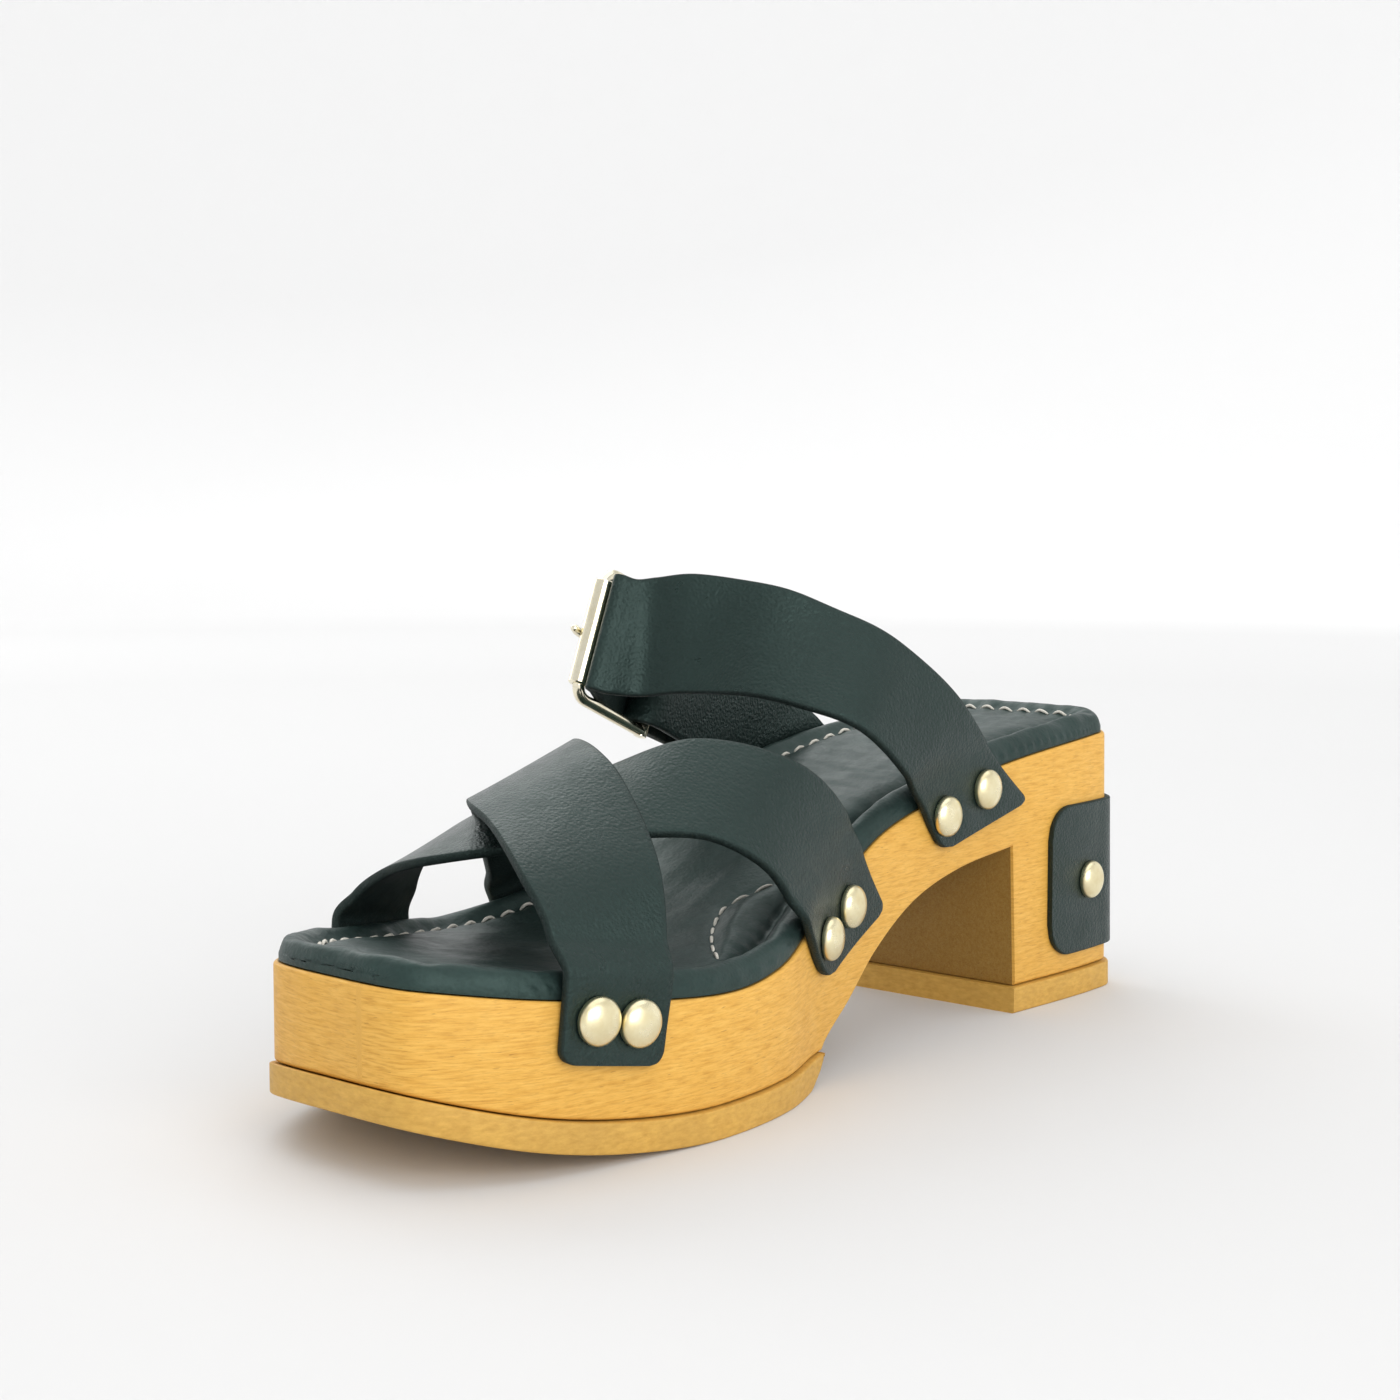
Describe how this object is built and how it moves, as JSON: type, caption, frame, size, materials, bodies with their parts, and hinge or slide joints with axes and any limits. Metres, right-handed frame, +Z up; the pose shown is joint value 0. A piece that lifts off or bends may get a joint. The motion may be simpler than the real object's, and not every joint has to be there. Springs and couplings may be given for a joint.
{
  "type": "wooden clog",
  "caption": "Heeled wooden-soled clog sandalette with a padded leather footbed, crossed forefoot straps, a buckled instep strap and dome studs.",
  "frame": {"origin": "on the floor, under the middle of the part's box", "axes": "+Z up, toe towards -Y, heel towards +Y, wearer's inner side towards +X"},
  "size_m": [0.0922, 0.2456, 0.1072],
  "materials": {
    "wood": "golden fine-grained timber, satin lacquer",
    "outsole": "matt ochre moulded rubber",
    "strap_leather": "smooth black waxed leather, soft sheen",
    "lining_leather": "soft creased black lining leather",
    "foam": "cream open-cell foam, hidden",
    "buckle_metal": "polished pale gold plate",
    "stud_metal": "satin pale brass"
  },
  "bodies": {
    "clog": {"wooden_sole": "wood", "forefoot_outsole": "outsole", "heel_lift": "outsole", "heel_patch": "strap_leather", "footbed_cover": "lining_leather", "footbed_foam": "foam", "arch_pad": "foam", "upper_cross_strap": "strap_leather", "lower_cross_strap": "strap_leather", "instep_strap": "strap_leather", "buckle_strap": "strap_leather", "upper_strap_stud_medial_front": "stud_metal", "upper_strap_stud_medial_rear": "stud_metal", "upper_strap_stud_lateral_front": "stud_metal", "upper_strap_stud_lateral_rear": "stud_metal", "lower_strap_stud_medial_front": "stud_metal", "lower_strap_stud_medial_rear": "stud_metal", "lower_strap_stud_lateral_front": "stud_metal", "lower_strap_stud_lateral_rear": "stud_metal", "instep_strap_stud_medial_front": "stud_metal", "instep_strap_stud_medial_rear": "stud_metal", "buckle_strap_stud_lateral_front": "stud_metal", "buckle_strap_stud_lateral_rear": "stud_metal", "heel_patch_stud_medial": "stud_metal", "heel_patch_stud_lateral": "stud_metal"},
    "buckle": {"buckle_frame": "buckle_metal"},
    "roller": {"buckle_roller": "buckle_metal"},
    "prong": {"buckle_prong": "buckle_metal"}
  },
  "joints": [
    {"name": "buckle_swing", "type": "hinge", "parent": "clog", "child": "buckle", "pos_m": [-0.03524, 0.01361, 0.0826], "axis": [0.0258, -0.3881, -0.9213], "range_deg": [0, 8]},
    {"name": "roller_spin", "type": "hinge", "parent": "buckle", "child": "roller", "pos_m": [-0.033, -0.01116, 0.0931], "axis": [-0.0258, 0.3881, 0.9213], "continuous": true},
    {"name": "prong_lift", "type": "hinge", "parent": "buckle", "child": "prong", "pos_m": [-0.03524, 0.01361, 0.0826], "axis": [0.0258, -0.3881, -0.9213], "range_deg": [0, 12]}
  ]
}
